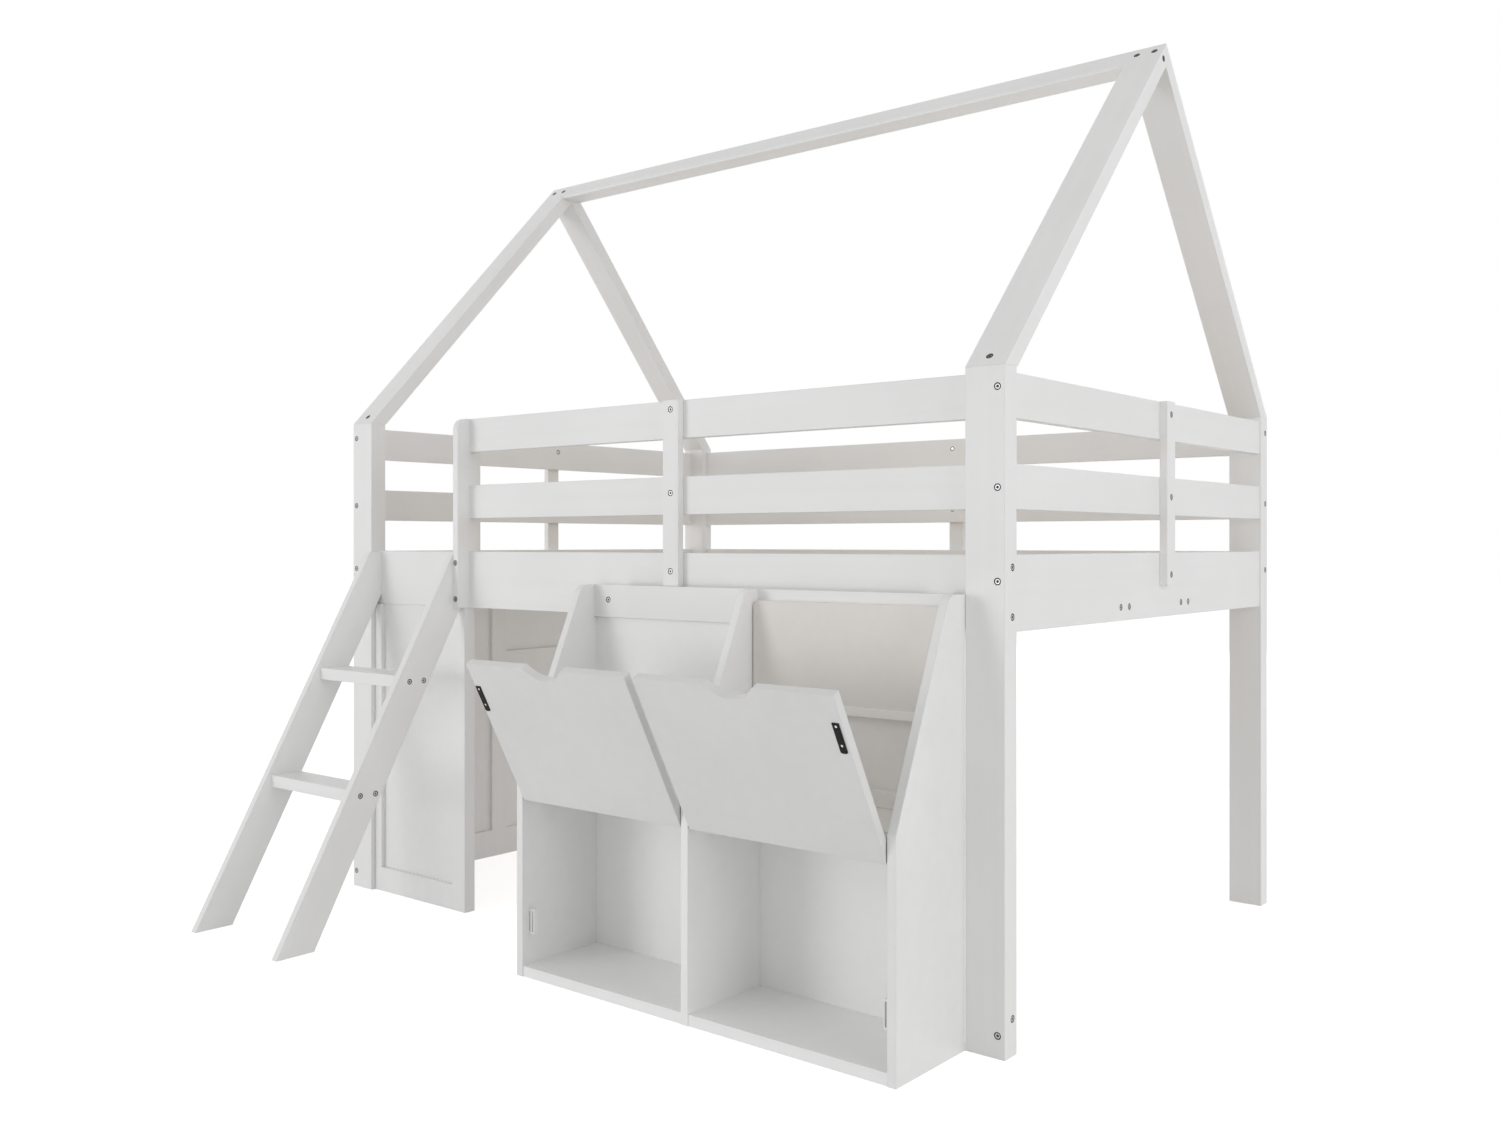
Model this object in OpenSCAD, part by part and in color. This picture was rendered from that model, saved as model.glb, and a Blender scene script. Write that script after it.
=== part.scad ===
// House-roofed loft bed with a ladder, a boarded play corner and a storage case with two swinging bin doors.
// Lengths are in millimetres. X runs along the bed, Y from front to back and Z up.
// Every piece is first placed with y = 0 at the front of the posts and x = 0 in the middle of the bed.
// At the end everything moves so that the origin is the middle of the footprint, on the floor.

/* [Bed frame] */
// Length over the posts
bed_l = 1990; // [1960:5:2200]
// Width over the posts
bed_w = 1460; // [1430:5:1620]
// Width of a post along the bed
post_w = 82; // [74:1:90]
// Depth of a post across the bed
post_d = 47; // [46:1:60]
// Thickness of every rail
rail_t = 22; // [18:1:24]
// Clear height under the bed rails
bed_rail_z = 785; // [770:1:800]
// Height of the bed rails
bed_rail_h = 144; // [135:1:160]
// Height of a guard rail
guard_rail_h = 85; // [75:1:95]
// Open gap between one rail and the next
guard_gap = 85; // [70:1:88]
// Height of a post above its top guard rail
post_rise = 11; // [6:1:60]
// Distance of the front rails behind the front of the posts
front_rail_inset = 19; // [18.5:0.5:22]
// Distance of the end and back rails inside the outer faces of the posts
end_rail_inset = 4; // [2:1:8]
// Width of the eased edges of the boards
ease = 2; // [1:0.5:3]

/* [Guard posts] */
// Width of a guard post
guard_post_w = 46; // [36:1:60]
// Thickness of a guard post
guard_post_t = 18; // [16:0.5:18]
// Length of a guard post below the top of the bed rail
guard_post_drop = 74; // [66:1:90]
// Distance of the front guard post from the middle of the bed
front_guard_x = 177; // [0:1:400]
// Distance of the back guard post from the middle of the bed
back_guard_x = 70; // [-200:1:400]
// Distance of the end guard posts behind the middle of the bed
end_guard_back = 33; // [-60:1:80]

/* [Roof] */
// Height of the ridge above the tops of the posts
roof_rise = 801; // [700:1:900]
// Distance of the ridge behind the middle of the bed
ridge_back = 39; // [-40:1:60]
// Thickness of a rafter
rafter_t = 36; // [30:1:40]
// Height of the ridge beam
ridge_h = 47; // [42:1:60]
// Height of the sloping part of the ridge beam
ridge_slope_h = 40; // [32:1:40]

/* [Slats] */
// Number of slats
slat_count = 14; // [10:1:16]
// Width of a slat
slat_w = 70; // [50:1:90]
// Thickness of a slat
slat_t = 15; // [12:1:20]
// Width of the two long beams under the slats
beam_w = 70; // [66:1:90]
// Height of the beams and of the ledges along the bed rails
beam_h = 40; // [32:1:50]
// Height of the middle of the beams above the lower edge of the bed rails
beam_rise = 29; // [26:1:40]
// Distance of the pair of beams in front of the middle of the bed
beam_front = 10; // [-10:1:30]
// Distance between the middles of the beams
beam_spread = 339; // [280:1:400]
// Thickness of the ledges
ledge_t = 20; // [16:1:30]

/* [Ladder] */
// Free width between the left post and the ladder's guard post
ladder_bay = 369.5; // [350:0.5:430]
// Distance of the ladder's feet from the front of the posts
ladder_reach = 534; // [450:1:560]
// Thickness of a stile
stile_t = 19; // [17:1:26]
// Width of a stile measured along the floor
stile_run = 101; // [90:1:110]
// Height of the stiles
ladder_h = 927; // [905:1:940]
// Distance of the top of a stile's front edge from the front of the posts
stile_top_y = 17.5; // [5:0.5:30]
// Side play of the ladder in its bay
ladder_play = 0.5; // [0.3:0.1:0.8]
// Thickness of a step
step_t = 30; // [24:1:36]
// Depth of a step from front to back
step_d = 85; // [78:1:86]
// Distance of the steps behind the middle of the stiles
step_shift = 10; // [0:1:12]
// Height of the middle of the lower step
lower_step_z = 344; // [300:1:380]
// Height of the middle of the upper step
upper_step_z = 607; // [560:1:660]
// Thickness of the ladder's guard post along the bed
ladder_post_t = 18.5; // [16:0.5:24]
// Depth of that guard post in front of the rails
ladder_post_front = 39; // [34:1:50]
// Depth of its upper part behind the front of the rails
ladder_post_back = 36; // [26:1:44]
// Radius of its upper front corner
ladder_post_r = 30; // [15:1:45]

/* [Play corner] */
// Width of the board beside the left front post
front_board_w = 377; // [340:1:400]
// Thickness of its frame
front_board_t = 34; // [28:1:38]
// Distance of its frame behind the front of the posts
front_board_inset = 12; // [8:1:14]
// Thickness of its field
front_field_t = 12; // [8:1:14]
// Width of its free stile
leg_w = 51; // [40:1:70]
// Width of its stile beside the post
edge_stile_w = 30; // [26:1:50]
// Height of its bottom rail
front_board_rail_h = 65; // [50:1:90]
// Thickness of the end wall's frame
end_wall_t = 28; // [24:1:36]
// Distance of the end wall inside the outer faces of the posts
end_wall_inset = 1; // [1:1:4]
// Thickness of the end wall's fields
end_field_t = 8; // [6:1:12]
// Height of the end wall's bottom rail
end_wall_rail_h = 80; // [66:1:100]
// Width of the end wall's two inner stiles
end_stile_w = 58; // [45:1:80]
// Distance of each inner stile from the post beside it
end_stile_in = 436; // [380:1:460]
// Height of the lower edge of the thick board in the middle
mid_board_z = 231; // [180:1:280]
// Height of that board
mid_board_h = 390; // [300:1:440]

/* [Storage case] */
// Width of the case
case_w = 972; // [900:1:1100]
// Depth of the case in front of the posts
case_d = 242; // [220:1:300]
// Height of the case above the lower edge of the bed rails
case_over = 70; // [60:1:85]
// Thickness of its sides, divider and shelves
case_t = 18; // [16:1:20]
// Thickness of its floor
case_floor_t = 23.5; // [18:0.5:28]
// Distance of the floor behind the front of the case
case_floor_inset = 2; // [1:1:6]
// Thickness of its back
case_back_t = 9; // [4:1:12]
// Height of the rail along the top of the back
case_rail_h = 74; // [66:1:90]
// Height of the bolts above that rail's lower edge
case_bolt_up = 40; // [30:1:46]
// Height at which the front edges start to slope back
slope_z = 440; // [438:1:470]
// Angle of the sloping edges from upright
slope_angle = 24; // [20:0.5:25]
// Radius at the top of the sloping edges
case_top_r = 30; // [15:1:40]
// Height of the lower face of the deck under the bins
deck_z = 420; // [418:1:430]
// Height of the batten on the deck
lower_batten_h = 32; // [20:1:50]
// Depth of that batten
lower_batten_d = 22; // [16:1:30]
// Distance of the upper batten's lower face below the top of the case
upper_batten_down = 243; // [215:1:295]
// Depth of the upper batten
upper_batten_d = 31; // [29:1:40]
// Distance from the top of the case down to the board on the right upper batten
riser_down = 23; // [15:1:60]
// Play beside that board
riser_gap = 3; // [1:0.5:6]
// Radius of its upper corners
riser_r = 14; // [8:1:30]

/* [Doors] */
// Thickness of a door
door_t = 18; // [16:1:18]
// Height of a door
door_h = 351; // [330:1:360]
// Gap between a door and the board beside it
door_gap = 2; // [2:0.1:3]
// Width of the finger notch
notch_w = 110; // [80:1:130]
// Depth of the finger notch
notch_h = 27; // [20:1:40]
// Distance of the hinge line behind the front of the case
pivot_set = 6.5; // [6:0.5:8]
// Height of the hinge line above the floor
pivot_z = 400; // [398:1:402]
// Height of the hinge line above a door's lower edge
pivot_up = 9; // [8.5:0.5:11]
// Forward lean of the doors from upright
door_lean = 28.1; // [5:0.1:60]
// Play between a closed door and the deck that stops it
door_stop_play = 0.5; // [0.3:0.1:1]

/* [Hinge plates and catches] */
// Diameter of the hinge pins
pin_d = 5; // [4:0.5:6]
// Radial play of the hinge pins
pin_play = 0.05; // [0.02:0.01:0.1]
// Length of a pin inside the door
pin_grip = 14; // [8:1:20]
// Thickness of the hinge plates and of the plates on the doors
plate_t = 1.5; // [1:0.1:1.6]
// Width of a hinge plate
hinge_plate_w = 15; // [12:1:17]
// Height of a hinge plate
hinge_plate_h = 45; // [36:1:48]
// Length of a hinge plate below the hinge line
hinge_plate_drop = 9; // [7:1:12]
// Width of the plate on a door
strike_w = 19; // [14:1:24]
// Height of that plate
strike_h = 65; // [50:1:80]
// Distance from its middle to the door's top edge
strike_down = 87.5; // [80:0.5:110]
// Distance of that plate from the door's side edge
strike_in = 2; // [1:0.5:4]
// Diameter of its screw holes
screw_d = 4; // [3:0.5:5]
// Size of a magnetic catch from front to back
catch_d = 16; // [12:1:20]
// Height of a magnetic catch
catch_h = 54; // [40:1:60]
// Distance that a catch stands out from the side
catch_t = 14; // [10:1:20]
// Height of the middle of a catch
catch_z = 119; // [100:1:130]
// Depth of the slot in a catch
catch_slot = 1; // [0.6:0.1:2]

/* [Bolts] */
// Diameter of a bolt head
head_d = 12; // [10:1:14]
// Thickness of a bolt head
head_t = 4; // [3:0.5:5]
// Depth of a head below the surface of the board
head_set = 0.3; // [0:0.1:1]
// Diameter of a bolt's shank
shank_d = 6; // [5:0.5:7]
// Radial play round the heads and shanks
bolt_play = 0.3; // [0.2:0.1:0.5]
// Width of the hexagon socket across its corners
socket_d = 6.5; // [4:0.5:7]
// Depth of the hexagon socket
socket_t = 2.5; // [1.5:0.5:2.5]
// Length of a bolt inside the end of a rail
rail_bite = 45; // [30:1:60]
// Length of the step bolts inside a step
step_bite = 40; // [30:1:50]
// Height of the lowest bolts on the front faces of the posts
low_bolt_z = 43; // [35:1:50]
// Height of the lowest bolts on the end faces of the posts
low_end_bolt_z = 70; // [64:1:90]
// Distance between the two bolts of a step or of a beam
pair_gap = 44; // [36:1:48]

/* [Hidden] */

PAINT = "white";
STEEL = "silver";
BLACK = "dimgray";
SLAT = "burlywood";

// Facets of heads, shanks and large curves
HEAD_FN = 32;
PIN_FN = 24;
CURVE_FN = 96;
// Gap that keeps two boards apart where they only pass each other
SLIP = 0.3;
// Overlap of a cutting shape beyond the face that it cuts
OVER = 1;

// Turns that point +Z to a side of the bed
FRONT = [90, 0, 0];
BACK = [-90, 0, 0];
function outward(side) = [0, side * 90, 0];

// Planes and half lengths that pieces share
half_l = bed_l / 2;
half_in = half_l - post_w;
mid_post_x = half_l - post_w / 2;
front_in = front_rail_inset + rail_t;
back_in = bed_w - end_rail_inset - rail_t;
back_post_y = bed_w - post_d;
end_rail_x = half_l - end_rail_inset - rail_t;
end_bolt_x = end_rail_x + rail_t / 2;
front_bolt_y = front_rail_inset + rail_t / 2;
back_bolt_y = back_in + rail_t / 2;
bed_rail_top = bed_rail_z + bed_rail_h;
middle_rail_z = bed_rail_top + guard_gap;
top_rail_z = middle_rail_z + guard_rail_h + guard_gap;
guard_top = top_rail_z + guard_rail_h;
guard_post_z = bed_rail_top - guard_post_drop;
post_h = guard_top + post_rise;
roof_h = post_h + roof_rise;
board_top = bed_rail_z - SLIP;
far_back = bed_w - end_rail_inset + guard_post_t;
origin_y = (far_back - ladder_reach) / 2;
levels = [bed_rail_z, middle_rail_z, top_rail_z];
end_guard_y = bed_w / 2 + end_guard_back;

// Roof slopes and the width that a rafter's end covers along the floor
ridge_y = bed_w / 2 + ridge_back;
front_slope = roof_rise / ridge_y;
back_slope = roof_rise / (bed_w - ridge_y);
front_foot = rafter_t / sin(atan(front_slope));
back_foot = rafter_t / sin(atan(back_slope));
// Point where the line that rises from y = a meets the line that falls to y = b
function crossing(a, b) =
    let (y = (front_slope * a + back_slope * b) / (front_slope + back_slope))
    [y, post_h + front_slope * (y - a)];

// Ladder
ladder_post_x = ladder_bay - half_in;
bay_right = ladder_post_x + ladder_post_t;
stile_slope = ladder_h / (ladder_reach - stile_top_y);
function stile_front(z) = z / stile_slope - ladder_reach;
stile_inset = ladder_play + stile_t;
step_middle = stile_run / 2 + step_shift;

// Slats
beam_mid_y = bed_w / 2 - beam_front;
beam_z = bed_rail_z + beam_rise;
slat_z = beam_z + beam_h / 2;
slat_reach = half_in - 2 * ease;
slat_pitch = (2 * slat_reach - slat_w) / (slat_count - 1);

// End wall
end_wall_x = end_wall_inset - half_l;
inner_stile_1 = post_d + end_stile_in;
inner_stile_2 = back_post_y - end_stile_in - end_stile_w;

// Storage case
case_h = bed_rail_z + case_over;
case_right = half_in;
case_left = case_right - case_w;
bay_w = (case_w - 3 * case_t) / 2;
bays = [case_left + case_t, case_left + 2 * case_t + bay_w];
pivot_y = pivot_set - case_d;
deck_top = deck_z + case_t;
closed_face_y = pivot_y + (deck_top - pivot_z) * tan(slope_angle) + door_t / 2 / cos(slope_angle);
deck_front = closed_face_y + door_stop_play;
case_rail_z = case_h - case_rail_h;
case_bolt_z = case_rail_z + case_bolt_up;
case_bolt_in = 45;
spacer_w = 60;
door_w = bay_w - 2 * door_gap;
upper_batten_z = case_h - upper_batten_down;
riser_h = upper_batten_down - case_t - riser_down;
strike_up = door_h - pivot_up - strike_down;
catch_y = pivot_y + door_t / 2 + plate_t + SLIP;
slot_w = catch_t * 0.4;
slot_h = catch_h * 0.7;

// Heights of the bolts in the rails, from the places of the bolts as shares of a rail's height
bed_share = 0.66;
middle_share = 0.47;
top_share = 0.66;
rail_bolts = [bed_rail_z + bed_rail_h * bed_share, middle_rail_z + guard_rail_h * middle_share,
    top_rail_z + guard_rail_h * top_share];
side_shares = [0.2, 0.84];
side_bolts = [for (share = side_shares) bed_rail_z + bed_rail_h * share];
// The bolts on the back faces pass below those on the ends
back_bolt_drop = 26;
guard_bolt_rise = 8;
ladder_bolt_drop = 6;
through_d = post_d + rail_bite;
through_w = post_w + rail_bite;
short_bolt = 38;
// Share of the last board's thickness that a bolt's end reaches into
bite = 0.6;

// A bolt's mark is the place of its seat on the surface, its outward turn and its length
function front_marks(side) = concat(
    [for (z = rail_bolts) [[side * end_bolt_x, 0, z], FRONT, through_d]],
    [[[side * end_bolt_x, 0, low_bolt_z], FRONT, side < 0 ? through_d : short_bolt]]);

function front_end_marks(side) = concat(
    [for (z = side_bolts) [[side * half_l, front_bolt_y, z], outward(side), through_w]],
    [[[side * half_l, front_bolt_y, low_end_bolt_z], outward(side),
        side < 0 ? post_w + edge_stile_w * bite : short_bolt]]);

function back_marks(side) = concat(
    [for (z = rail_bolts) [[side * end_bolt_x, bed_w, z - back_bolt_drop], BACK, through_d]],
    side < 0 ? [[[-end_bolt_x, bed_w, low_bolt_z], BACK, through_d]] : []);

function back_end_marks(side) =
    [for (z = rail_bolts) [[side * half_l, back_bolt_y, z], outward(side), through_w]];

beam_marks = [for (side = [-1, 1]) for (b = [-1, 1]) for (g = [-1, 1])
    [[side * (half_l - end_rail_inset), beam_mid_y + (b * beam_spread + g * pair_gap) / 2, beam_z],
        outward(side), rail_t + rail_bite]];

case_marks = [for (x = [case_left + case_t + case_bolt_in, case_right - case_t - case_bolt_in])
    [[x, -case_t, case_bolt_z], FRONT, case_t + front_rail_inset + rail_t * bite]];

ladder_post_marks = [for (z = side_bolts)
    [[ladder_post_x + ladder_post_t / 2, front_rail_inset - ladder_post_front,
        z - ladder_bolt_drop], FRONT, ladder_post_front + rail_t * bite]];

guard_len = guard_post_t + rail_t;
front_guard_marks = [for (z = rail_bolts)
    [[front_guard_x, front_rail_inset - guard_post_t, z + guard_bolt_rise], FRONT, guard_len]];
back_guard_marks = [for (z = rail_bolts) [[back_guard_x, far_back, z], BACK, guard_len]];
function end_guard_marks(side) = [for (z = rail_bolts)
    [[side * (half_l - end_rail_inset + guard_post_t), end_guard_y, z], outward(side), guard_len]];

function ladder_marks(side) = [for (z = [lower_step_z, upper_step_z]) for (g = [-1, 1])
    [[side > 0 ? ladder_post_x - ladder_play : ladder_play - half_in,
        stile_front(z) + step_middle + g * pair_gap / 2, z], outward(side), stile_t + step_bite]];

// A mark on the outside of the roof, at a distance along the floor from the foot of the rafter
function front_roof_mark(x, run, length) =
    [[x, run, post_h + run * front_slope], [atan(front_slope), 0, 0], length];
function back_roof_mark(x, run, length) =
    [[x, bed_w - run, post_h + run * back_slope], [-atan(back_slope), 0, 0], length];

foot_run = 19;
foot_len = post_d * bite;
function foot_marks(side) = [front_roof_mark(side * mid_post_x, foot_run, foot_len),
    back_roof_mark(side * mid_post_x, foot_run, foot_len)];
lap_run = ridge_y - 17;
lap_len = 2 * rafter_t;
ridge_bolt_front = 16;
ridge_bolt_down = 39;
function lap_marks(side) = [for (g = [-1, 1])
    front_roof_mark(side * mid_post_x + g * post_w / 4, lap_run, lap_len)];
function ridge_marks(side) = [[[side * half_l, ridge_y - ridge_bolt_front, roof_h - ridge_bolt_down],
    outward(side), through_w]];

// Board section with eased edges, corner at the origin
module section(a, b) {
    e = ease / 2;
    polygon([[e, 0], [a - e, 0], [a, e], [a, b - e], [a - e, b], [e, b], [0, b - e], [0, e]]);
}

module bar_x(from, to, y, z, dy, dz) {
    translate([from, y, z]) rotate([90, 0, 90]) linear_extrude(to - from) section(dy, dz);
}

module bar_y(from, to, x, z, dx, dz) {
    translate([x, to, z]) rotate([90, 0, 0]) linear_extrude(to - from) section(dx, dz);
}

module bar_z(from, to, x, y, dx, dy) {
    translate([x, y, from]) linear_extrude(to - from) section(dx, dy);
}

// A profile drawn as [y, z] and made thick along X
module slab_x(x, t) {
    translate([x, 0, 0]) rotate([90, 0, 90]) linear_extrude(t) children();
}

module placed() {
    translate([0, -origin_y, 0]) children();
}

module bolt(length, both_ends) {
    head_z = head_set + head_t;
    difference() {
        union() {
            translate([0, 0, -head_z]) cylinder(d = head_d, h = head_t, $fn = HEAD_FN);
            translate([0, 0, -length + (both_ends ? head_set : 0)])
                cylinder(d = shank_d, h = length - head_z, $fn = PIN_FN);
            if (both_ends)
                translate([0, 0, head_set - length]) cylinder(d = head_d, h = head_t, $fn = HEAD_FN);
        }
        translate([0, 0, -head_set - socket_t]) cylinder(d = socket_d, h = socket_t + OVER, $fn = 6);
    }
}

// The hole that a bolt needs, with its counterbore
module bolt_hole(length, both_ends) {
    head_z = head_set + head_t;
    head_hole = head_d + 2 * bolt_play;
    translate([0, 0, -head_z]) cylinder(d = head_hole, h = head_z + OVER, $fn = HEAD_FN);
    translate([0, 0, -length - OVER]) cylinder(d = shank_d + 2 * bolt_play, h = length, $fn = PIN_FN);
    if (both_ends)
        translate([0, 0, -length - OVER]) cylinder(d = head_hole, h = head_z + OVER, $fn = HEAD_FN);
}

module bolts(marks, both_ends = false) {
    for (m = marks) translate(m[0]) rotate(m[1]) bolt(m[2], both_ends);
}

module holes(marks, both_ends = false) {
    for (m = marks) translate(m[0]) rotate(m[1]) bolt_hole(m[2], both_ends);
}

module front_post(side) {
    color(PAINT) difference() {
        bar_z(0, post_h, side > 0 ? half_in : -half_l, 0, post_w, post_d);
        holes(front_marks(side));
        holes(front_end_marks(side));
        holes([foot_marks(side)[0]]);
    }
}

module back_post(side) {
    color(PAINT) difference() {
        bar_z(0, post_h, side > 0 ? half_in : -half_l, back_post_y, post_w, post_d);
        holes(back_marks(side));
        holes(back_end_marks(side));
        holes([foot_marks(side)[1]]);
    }
}

module end_rail(side, level, h) {
    z = levels[level];
    color(PAINT) difference() {
        bar_y(post_d, back_post_y, side > 0 ? end_rail_x : -end_rail_x - rail_t, z, rail_t, h);
        holes([front_marks(side)[level], back_marks(side)[level]]);
        holes([end_guard_marks(side)[level]], true);
        if (level == 0) holes(beam_marks);
    }
}

module front_bed_rail() {
    color(PAINT) difference() {
        bar_x(-half_in, half_in, front_rail_inset, bed_rail_z, rail_t, bed_rail_h);
        holes(front_end_marks(-1));
        holes(front_end_marks(1));
        holes(ladder_post_marks);
        holes(case_marks);
        holes([front_guard_marks[0]], true);
    }
}

module front_guard_rail(level) {
    z = levels[level];
    color(PAINT) difference() {
        bar_x(bay_right, half_in, front_rail_inset, z, rail_t, guard_rail_h);
        holes([front_guard_marks[level]], true);
    }
}

module back_rail(level, h) {
    z = levels[level];
    color(PAINT) difference() {
        bar_x(-half_in, half_in, back_in, z, rail_t, h);
        holes([back_end_marks(-1)[level], back_end_marks(1)[level]]);
        holes([back_guard_marks[level]], true);
    }
}

module front_guard_post() {
    color(PAINT) difference() {
        bar_z(guard_post_z, guard_top, front_guard_x - guard_post_w / 2, front_rail_inset - guard_post_t,
            guard_post_w, guard_post_t);
        holes(front_guard_marks, true);
    }
}

module back_guard_post() {
    color(PAINT) difference() {
        bar_z(guard_post_z, guard_top, back_guard_x - guard_post_w / 2, far_back - guard_post_t,
            guard_post_w, guard_post_t);
        holes(back_guard_marks, true);
    }
}

module end_guard_post(side) {
    outer = half_l - end_rail_inset;
    color(PAINT) difference() {
        bar_z(guard_post_z, guard_top, side > 0 ? outer : -outer - guard_post_t,
            end_guard_y - guard_post_w / 2, guard_post_t, guard_post_w);
        holes(end_guard_marks(side), true);
    }
}

// The ladder's guard post hooks over the bed rail and is round at its upper front corner
module ladder_guard_post() {
    front = front_rail_inset - ladder_post_front;
    back = front_rail_inset + ladder_post_back;
    r = ladder_post_r;
    color(PAINT) difference() {
        slab_x(ladder_post_x, ladder_post_t) difference() {
            union() {
                translate([front, bed_rail_z]) square([ladder_post_front, guard_top - bed_rail_z]);
                translate([front, bed_rail_top]) square([back - front, guard_top - bed_rail_top]);
            }
            difference() {
                translate([front - OVER, guard_top - r]) square([r + OVER, r + OVER]);
                translate([front + r, guard_top - r]) circle(r, $fn = CURVE_FN);
            }
        }
        holes(ladder_post_marks);
    }
}

// The front rafter runs up to the ridge, and the end of the back one butts against it
module front_rafter(side) {
    color(PAINT) difference() {
        slab_x(side > 0 ? half_in : -half_l, post_w)
            polygon([[0, post_h], crossing(0, bed_w), crossing(front_foot, bed_w), [front_foot, post_h]]);
        holes([foot_marks(side)[0]]);
        holes(lap_marks(side));
        holes(ridge_marks(side));
    }
}

module back_rafter(side) {
    color(PAINT) difference() {
        slab_x(side > 0 ? half_in : -half_l, post_w)
            polygon([[bed_w, post_h], crossing(front_foot, bed_w), crossing(front_foot, bed_w - back_foot),
                [bed_w - back_foot, post_h]]);
        holes([foot_marks(side)[1]]);
        holes(lap_marks(side));
    }
}

// The ridge beam has the slopes of the roof above and a flat face below
module ridge_beam() {
    front = ridge_y - ridge_slope_h / front_slope;
    back = ridge_y + ridge_slope_h / back_slope;
    color(PAINT) difference() {
        slab_x(-half_in, 2 * half_in) polygon([[ridge_y, roof_h], [front, roof_h - ridge_slope_h],
            [front, roof_h - ridge_h], [back, roof_h - ridge_h], [back, roof_h - ridge_slope_h]]);
        holes(ridge_marks(-1));
        holes(ridge_marks(1));
    }
}

module slat_ledges() {
    color(PAINT) for (y = [front_in, back_in - ledge_t])
        bar_x(-half_in, half_in, y, slat_z - beam_h, ledge_t, beam_h);
}

module slat_beams() {
    color(PAINT) difference() {
        for (b = [-1, 1])
            bar_x(-end_rail_x, end_rail_x, beam_mid_y + (b * beam_spread - beam_w) / 2, slat_z - beam_h,
                beam_w, beam_h);
        holes(beam_marks);
    }
}

module slats() {
    color(SLAT) for (i = [0 : slat_count - 1])
        bar_y(front_in + ease, back_in - ease, i * slat_pitch - slat_reach, slat_z, slat_w, slat_t);
}

module ladder_stile(side) {
    back_z = (front_rail_inset + ladder_reach - stile_run) * stile_slope;
    color(PAINT) difference() {
        slab_x(side > 0 ? ladder_post_x - stile_inset : ladder_play - half_in, stile_t)
            polygon([[-ladder_reach, 0], [stile_run - ladder_reach, 0], [front_rail_inset, back_z],
                [front_rail_inset, ladder_h], [-stile_top_y, ladder_h]]);
        holes(ladder_marks(side));
    }
}

module ladder_step(z) {
    color(PAINT) difference() {
        bar_x(stile_inset - half_in, ladder_post_x - stile_inset, stile_front(z) + step_middle - step_d / 2,
            z - step_t / 2, step_d, step_t);
        holes(ladder_marks(-1));
        holes(ladder_marks(1));
    }
}

module front_board_frame() {
    right = front_board_w - half_in;
    color(PAINT) difference() {
        union() {
            bar_z(0, board_top, right - leg_w, front_board_inset, leg_w, front_board_t);
            bar_z(0, board_top, -half_in, front_board_inset, edge_stile_w, front_board_t);
            bar_x(-half_in + edge_stile_w / 2, right - leg_w / 2, front_board_inset, 0,
                front_board_t, front_board_rail_h);
        }
        holes([front_end_marks(-1)[2]]);
    }
}

module front_board_field() {
    color(PAINT) translate([edge_stile_w - half_in, front_board_inset + (front_board_t - front_field_t) / 2,
        front_board_rail_h])
        cube([front_board_w - edge_stile_w - leg_w, front_field_t, board_top - front_board_rail_h]);
}

// End wall under the left bed rail, with a thick board in its middle bay
module end_wall_frame() {
    color(PAINT) difference() {
        union() {
            for (y = [post_d, back_post_y - edge_stile_w])
                bar_z(0, board_top, end_wall_x, y, end_wall_t, edge_stile_w);
            for (y = [inner_stile_1, inner_stile_2])
                bar_z(0, board_top, end_wall_x, y, end_wall_t, end_stile_w);
            bar_y(post_d + edge_stile_w / 2, back_post_y - edge_stile_w / 2, end_wall_x, 0,
                end_wall_t, end_wall_rail_h);
            bar_y(inner_stile_1 + end_stile_w / 2, inner_stile_2 + end_stile_w / 2, end_wall_x, mid_board_z,
                end_wall_t, mid_board_h);
        }
        holes([front_marks(-1)[3], back_marks(-1)[3]]);
    }
}

module end_field(from, to, low, high) {
    translate([end_wall_x + (end_wall_t - end_field_t) / 2, from, low])
        cube([end_field_t, to - from, high - low]);
}

module end_wall_fields() {
    middle = inner_stile_1 + end_stile_w;
    color(PAINT) {
        end_field(post_d + edge_stile_w, inner_stile_1, end_wall_rail_h, board_top);
        end_field(middle, inner_stile_2, end_wall_rail_h, mid_board_z);
        end_field(middle, inner_stile_2, mid_board_z + mid_board_h, board_top);
        end_field(inner_stile_2 + end_stile_w, back_post_y - edge_stile_w, end_wall_rail_h, board_top);
    }
}

// Outline of a side of the case, with the sloping edge rounded into the top
module case_outline() {
    corner_y = (case_h - slope_z) * tan(slope_angle) - case_d;
    run = case_top_r * tan((90 - slope_angle) / 2);
    low = [corner_y - run * sin(slope_angle), case_h - run * cos(slope_angle)];
    centre = [corner_y + run, case_h - case_top_r];
    difference() {
        polygon([[-case_d, 0], [-case_d, slope_z], [corner_y, case_h], [0, case_h], [0, 0]]);
        difference() {
            polygon([low, [corner_y - OVER, case_h + OVER], [corner_y + run, case_h + OVER],
                [corner_y + run, case_h], centre]);
            translate(centre) circle(case_top_r, $fn = CURVE_FN);
        }
    }
}

module case_panel(x) {
    color(PAINT) slab_x(x, case_t) case_outline();
}

module case_floor() {
    color(PAINT) for (x = bays) translate([x, case_floor_inset - case_d, 0])
        cube([bay_w, case_d - case_floor_inset, case_floor_t]);
}

module case_deck() {
    color(PAINT) for (x = bays) translate([x, deck_front, deck_z])
        cube([bay_w, -case_back_t - deck_front, case_t]);
}

module case_back() {
    color(PAINT) for (x = bays) translate([x, -case_back_t, case_floor_t])
        cube([bay_w, case_back_t, case_rail_z - case_floor_t]);
}

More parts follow.
